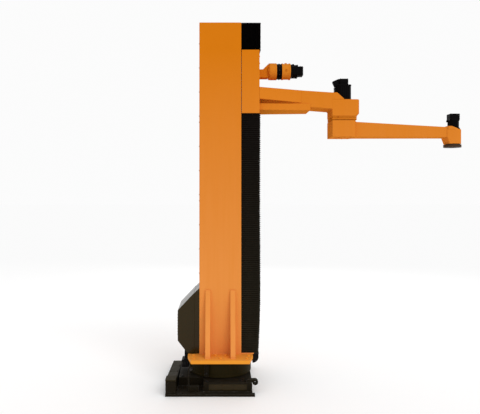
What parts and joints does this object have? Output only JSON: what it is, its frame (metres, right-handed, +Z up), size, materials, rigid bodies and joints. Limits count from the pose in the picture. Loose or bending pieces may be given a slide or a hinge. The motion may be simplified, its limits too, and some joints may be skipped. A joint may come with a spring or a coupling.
{
  "type": "column palletizing robot",
  "caption": "Column palletizing robot: a turning column on a low base, a carriage that climbs it behind bellows, and a jointed arm with a round tool flange.",
  "frame": {"origin": "on the floor, under the column's slewing axis", "axes": "+Z up along the column, +X towards the arm, +Y to the column's side"},
  "size_m": [2.599, 0.85, 3.13],
  "materials": {
    "orange_paint": "satin",
    "dark_steel": "satin",
    "olive_paint": "satin",
    "black_paint": "satin",
    "motor_black": "satin",
    "motor_plastic": "matte",
    "bright_steel": "satin",
    "bellows_cloth": "matte"
  },
  "bodies": {
    "base": {"ground_plate": "dark_steel", "base_frame": "dark_steel", "connection_block": "dark_steel", "block_cap": "olive_paint", "cable_duct": "dark_steel", "switch_post": "dark_steel", "lifting_lugs": "dark_steel", "slew_ring": "bright_steel"},
    "column": {"turntable": "bright_steel", "slew_skirt": "dark_steel", "stop_dog": "dark_steel", "foot_plate": "orange_paint", "column_ribs": "orange_paint", "column_box": "orange_paint", "column_cap": "orange_paint", "drive_cover": "olive_paint", "slew_gear_unit": "black_paint", "guide_rails": "bright_steel", "bellows_foot": "black_paint", "bellows_head": "black_paint", "lower_bellows": "bellows_cloth", "upper_bellows": "bellows_cloth"},
    "carriage": {"carriage_box": "orange_paint", "carriage_cheeks": "orange_paint", "bearing_blocks": "bright_steel", "upper_arm_beam": "orange_paint", "arm_stiffener": "orange_paint", "arm_wings": "orange_paint", "elbow_housing": "orange_paint", "elbow_cheeks": "orange_paint", "elbow_bearing": "orange_paint", "elbow_motor": "motor_black", "elbow_encoder": "motor_plastic", "lift_bracket": "orange_paint", "lift_bell": "orange_paint", "lift_gear_unit": "black_paint", "lift_adapter": "orange_paint", "lift_motor": "motor_black", "lift_encoder": "motor_plastic"},
    "forearm": {"forearm_root": "orange_paint", "elbow_shaft": "bright_steel", "forearm_beam": "orange_paint", "wrist_housing": "orange_paint", "wrist_motor": "motor_black", "wrist_encoder": "motor_plastic"},
    "tool": {"tool_flange": "black_paint"}
  },
  "joints": [
    {"name": "slew", "type": "hinge", "parent": "base", "child": "column", "pos_m": [0, 0, 0], "axis": [0, 0, 1], "range_deg": [-165, 165]},
    {"name": "lift", "type": "slide", "parent": "column", "child": "carriage", "axis": [0, 0, 1], "range_m": [-1.65, 0], "deforming": ["lower_bellows", "upper_bellows"]},
    {"name": "elbow", "type": "hinge", "parent": "carriage", "child": "forearm", "pos_m": [1.097, 0, 2.3], "axis": [0, 0, 1], "range_deg": [-135, 135]},
    {"name": "wrist", "type": "hinge", "parent": "forearm", "child": "tool", "pos_m": [2.071, 0, 2.093], "axis": [0, 0, 1], "range_deg": [-180, 180]}
  ]
}
